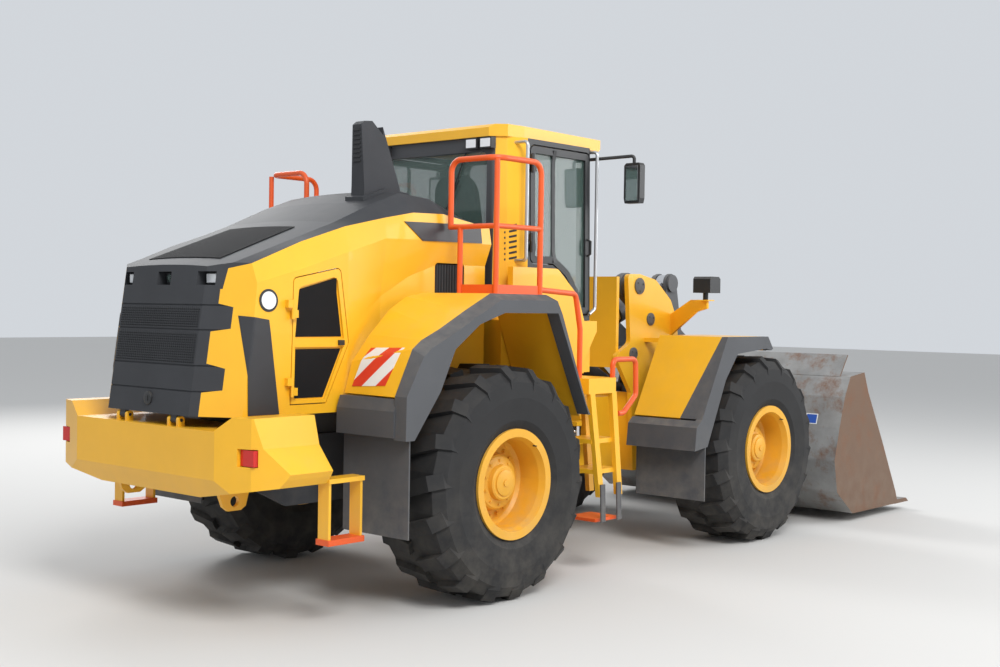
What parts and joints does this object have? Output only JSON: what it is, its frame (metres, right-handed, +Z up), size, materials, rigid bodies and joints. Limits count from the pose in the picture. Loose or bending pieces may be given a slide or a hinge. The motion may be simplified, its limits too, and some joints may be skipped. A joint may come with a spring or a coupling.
{
  "type": "wheel loader",
  "caption": "Articulated wheel loader with a lifting boom and tilting bucket, glazed cab, rear engine hood, fenders, ladders and handrails.",
  "frame": {"origin": "ground level under the middle of the overall length and width", "axes": "+X forwards to the bucket, +Y to the operator's left, +Z up"},
  "size_m": [8.535, 3, 3.5044],
  "materials": {
    "yellow_paint": "gloss, dusty",
    "dark_paint": "satin",
    "grey_paint": "satin, worn",
    "bucket_steel": "worn and rusty",
    "rail_paint": "gloss",
    "rim_paint": "gloss, dusty",
    "tyre_rubber": "dusty",
    "flap_rubber": "matt",
    "glass": "dark tint",
    "lamp_lens": "clear red",
    "chrome_rod": "polished",
    "pin_steel": "ground",
    "grab_steel": "satin",
    "cast_grey": "rough",
    "black_plastic": "matt",
    "seat_fabric": "woven"
  },
  "bodies": {
    "rear_frame": {"rear_chassis": "dark_paint", "hinge_pins": "pin_steel", "engine_block": "cast_grey", "counterweight": "yellow_paint", "tail_lamps": "lamp_lens", "rear_axle": "cast_grey", "rear_fenders": "yellow_paint", "rear_fender_trim": "flap_rubber", "cab_rear_frame": "yellow_paint", "cab_front_frame": "black_plastic", "cab_glass": "glass", "cab_roof": "yellow_paint", "cab_base": "yellow_paint", "operator_seat": "seat_fabric", "handrails": "rail_paint", "grab_rails": "grab_steel", "ladders": "yellow_paint", "cab_fittings": "black_plastic"},
    "hood_lid": {"hood": "yellow_paint", "hood_top": "dark_paint", "rear_grille": "dark_paint", "exhaust_stack": "dark_paint"},
    "service_leaf_left": {"service_door_left": "yellow_paint"},
    "service_leaf_right": {"service_door_right": "yellow_paint"},
    "cab_leaf_left": {"cab_door_left": "black_plastic", "door_glass_left": "glass"},
    "cab_leaf_right": {"cab_door_right": "black_plastic", "door_glass_right": "glass"},
    "front_frame": {"front_chassis": "yellow_paint", "front_axle": "cast_grey", "front_fenders": "yellow_paint", "front_fender_trim": "flap_rubber", "linkage_pins": "pin_steel", "headlamp_brackets": "yellow_paint", "headlamps": "black_plastic"},
    "boom_arms": {"boom": "grey_paint"},
    "lever_carrier": {"lever_pin": "pin_steel"},
    "lever_body": {"lever": "grey_paint"},
    "bucket_carrier": {"bucket_pins": "pin_steel"},
    "bucket_body": {"bucket": "bucket_steel"},
    "link_carrier": {"link_pin": "pin_steel"},
    "link_body": {"link": "grey_paint"},
    "tilt_barrel": {"tilt_cylinder": "grey_paint"},
    "tilt_piston": {"tilt_rod": "chrome_rod"},
    "lift_barrel_left": {"lift_cylinder_left": "grey_paint"},
    "lift_piston_left": {"lift_rod_left": "chrome_rod"},
    "lift_barrel_right": {"lift_cylinder_right": "grey_paint"},
    "lift_piston_right": {"lift_rod_right": "chrome_rod"},
    "steer_barrel_left": {"steer_cylinder_left": "dark_paint"},
    "steer_piston_left": {"steer_rod_left": "chrome_rod"},
    "steer_barrel_right": {"steer_cylinder_right": "dark_paint"},
    "steer_piston_right": {"steer_rod_right": "chrome_rod"},
    "wheel_front_left": {"rim_front_left": "rim_paint", "tyre_front_left": "tyre_rubber"},
    "wheel_front_right": {"rim_front_right": "rim_paint", "tyre_front_right": "tyre_rubber"},
    "wheel_rear_left": {"rim_rear_left": "rim_paint", "tyre_rear_left": "tyre_rubber"},
    "wheel_rear_right": {"rim_rear_right": "rim_paint", "tyre_rear_right": "tyre_rubber"}
  },
  "joints": [
    {"name": "articulation", "type": "hinge", "parent": "rear_frame", "child": "front_frame", "pos_m": [-0.3925, 0, 0.9], "axis": [0, 0, 1], "range_deg": [-37, 37]},
    {"name": "wheel_front_left_spin", "type": "hinge", "parent": "front_frame", "child": "wheel_front_left", "pos_m": [1.3825, 1.14, 0.84], "axis": [0, 1, 0], "continuous": true},
    {"name": "wheel_front_right_spin", "type": "hinge", "parent": "front_frame", "child": "wheel_front_right", "pos_m": [1.3825, -1.14, 0.84], "axis": [0, 1, 0], "continuous": true},
    {"name": "wheel_rear_left_spin", "type": "hinge", "parent": "rear_frame", "child": "wheel_rear_left", "pos_m": [-2.1675, 1.14, 0.84], "axis": [0, 1, 0], "continuous": true},
    {"name": "wheel_rear_right_spin", "type": "hinge", "parent": "rear_frame", "child": "wheel_rear_right", "pos_m": [-2.1675, -1.14, 0.84], "axis": [0, 1, 0], "continuous": true},
    {"name": "boom_lift", "type": "hinge", "parent": "front_frame", "child": "boom_arms", "pos_m": [0.6645, 0, 2.301], "axis": [0, -1, 0], "range_deg": [-5.4, 86.6]},
    {"name": "bucket_level", "type": "hinge", "parent": "boom_arms", "child": "bucket_carrier", "pos_m": [2.3675, 0, 0.4], "axis": [0, -1, 0], "range_deg": [-87.1, 5.9]},
    {"name": "bucket_tilt", "type": "hinge", "parent": "bucket_carrier", "child": "bucket_body", "pos_m": [2.3675, 0, 0.4], "axis": [0, -1, 0], "range_deg": [-50, 40]},
    {"name": "lever_level", "type": "hinge", "parent": "boom_arms", "child": "lever_carrier", "pos_m": [1.9175, 0, 1.66], "axis": [0, -1, 0], "range_deg": [-2.92, 39.38]},
    {"name": "lever_swing", "type": "hinge", "parent": "lever_carrier", "child": "lever_body", "pos_m": [1.9175, 0, 1.66], "axis": [0, -1, 0], "range_deg": [-15.22, 18.9]},
    {"name": "link_level", "type": "hinge", "parent": "bucket_body", "child": "link_carrier", "pos_m": [2.4375, 0, 0.69], "axis": [0, -1, 0], "range_deg": [-5.23, 76.36]},
    {"name": "link_swing", "type": "hinge", "parent": "link_carrier", "child": "link_body", "pos_m": [2.4375, 0, 0.69], "axis": [0, -1, 0], "range_deg": [-40.98, 51.1]},
    {"name": "tilt_barrel_swing", "type": "hinge", "parent": "front_frame", "child": "tilt_barrel", "pos_m": [0.8475, 0, 1.999], "axis": [0, -1, 0], "range_deg": [-5.01, 72.9]},
    {"name": "tilt_rod_slide", "type": "slide", "parent": "tilt_barrel", "child": "tilt_piston", "axis": [0.9368, 0, 0.3498], "range_m": [-0.2158, 0.173]},
    {"name": "lift_barrel_left_swing", "type": "hinge", "parent": "front_frame", "child": "lift_barrel_left", "pos_m": [0.5835, 0.33, 1.684], "axis": [0, -1, 0], "range_deg": [-5.36, 78.44]},
    {"name": "lift_rod_left_slide", "type": "slide", "parent": "lift_barrel_left", "child": "lift_piston_left", "axis": [0.9023, 0, -0.4311], "range_m": [-0.0538, 0.8333]},
    {"name": "lift_barrel_right_swing", "type": "hinge", "parent": "front_frame", "child": "lift_barrel_right", "pos_m": [0.5835, -0.33, 1.684], "axis": [0, -1, 0], "range_deg": [-5.36, 78.44]},
    {"name": "lift_rod_right_slide", "type": "slide", "parent": "lift_barrel_right", "child": "lift_piston_right", "axis": [0.9023, 0, -0.4311], "range_m": [-0.0538, 0.8333]},
    {"name": "steer_barrel_left_swing", "type": "hinge", "parent": "rear_frame", "child": "steer_barrel_left", "pos_m": [-1.0425, 0.24, 1], "axis": [0, 0, 1], "range_deg": [-13.78, 13.78]},
    {"name": "steer_rod_left_slide", "type": "slide", "parent": "steer_barrel_left", "child": "steer_piston_left", "axis": [0.9893, 0.1458, 0], "range_m": [-0.2132, 0.2132]},
    {"name": "steer_barrel_right_swing", "type": "hinge", "parent": "rear_frame", "child": "steer_barrel_right", "pos_m": [-1.0425, -0.24, 1], "axis": [0, 0, 1], "range_deg": [-13.78, 13.78]},
    {"name": "steer_rod_right_slide", "type": "slide", "parent": "steer_barrel_right", "child": "steer_piston_right", "axis": [0.9893, -0.1458, 0], "range_m": [-0.2132, 0.2132]},
    {"name": "hood_tilt", "type": "hinge", "parent": "rear_frame", "child": "hood_lid", "pos_m": [-4.2045, 0, 1.33], "axis": [0, -1, 0], "range_deg": [0, 50]},
    {"name": "service_leaf_left_swing", "type": "hinge", "parent": "hood_lid", "child": "service_leaf_left", "pos_m": [-3.6545, 0.788, 1.8], "axis": [0, 0, 1], "range_deg": [0, 100]},
    {"name": "cab_leaf_left_swing", "type": "hinge", "parent": "rear_frame", "child": "cab_leaf_left", "pos_m": [-1.3305, 0.868, 2.7], "axis": [0, 0, 1], "range_deg": [0, 100]},
    {"name": "service_leaf_right_swing", "type": "hinge", "parent": "hood_lid", "child": "service_leaf_right", "pos_m": [-3.6545, -0.788, 1.8], "axis": [0, 0, -1], "range_deg": [0, 100]},
    {"name": "cab_leaf_right_swing", "type": "hinge", "parent": "rear_frame", "child": "cab_leaf_right", "pos_m": [-1.3305, -0.868, 2.7], "axis": [0, 0, -1], "range_deg": [0, 100]}
  ],
  "couplings": [
    {"joint": "bucket_level", "follows": "boom_lift", "ratio": -1},
    {"joint": "lever_level", "follows": "boom_lift", "ratio": 0.449},
    {"joint": "lever_swing", "follows": "bucket_tilt", "ratio": -0.368},
    {"joint": "link_level", "follows": "boom_lift", "ratio": 0.876},
    {"joint": "link_swing", "follows": "bucket_tilt", "ratio": -1.012},
    {"joint": "tilt_barrel_swing", "follows": "boom_lift", "ratio": 0.836},
    {"joint": "tilt_rod_slide", "follows": "bucket_tilt", "m_per_rad": 0.245},
    {"joint": "lift_barrel_left_swing", "follows": "boom_lift", "ratio": 0.9},
    {"joint": "lift_rod_left_slide", "follows": "boom_lift", "m_per_rad": 0.55},
    {"joint": "lift_barrel_right_swing", "follows": "boom_lift", "ratio": 0.9},
    {"joint": "lift_rod_right_slide", "follows": "boom_lift", "m_per_rad": 0.55},
    {"joint": "steer_barrel_left_swing", "follows": "articulation", "ratio": 0.359},
    {"joint": "steer_rod_left_slide", "follows": "articulation", "m_per_rad": -0.327},
    {"joint": "steer_barrel_right_swing", "follows": "articulation", "ratio": 0.359},
    {"joint": "steer_rod_right_slide", "follows": "articulation", "m_per_rad": 0.327}
  ]
}
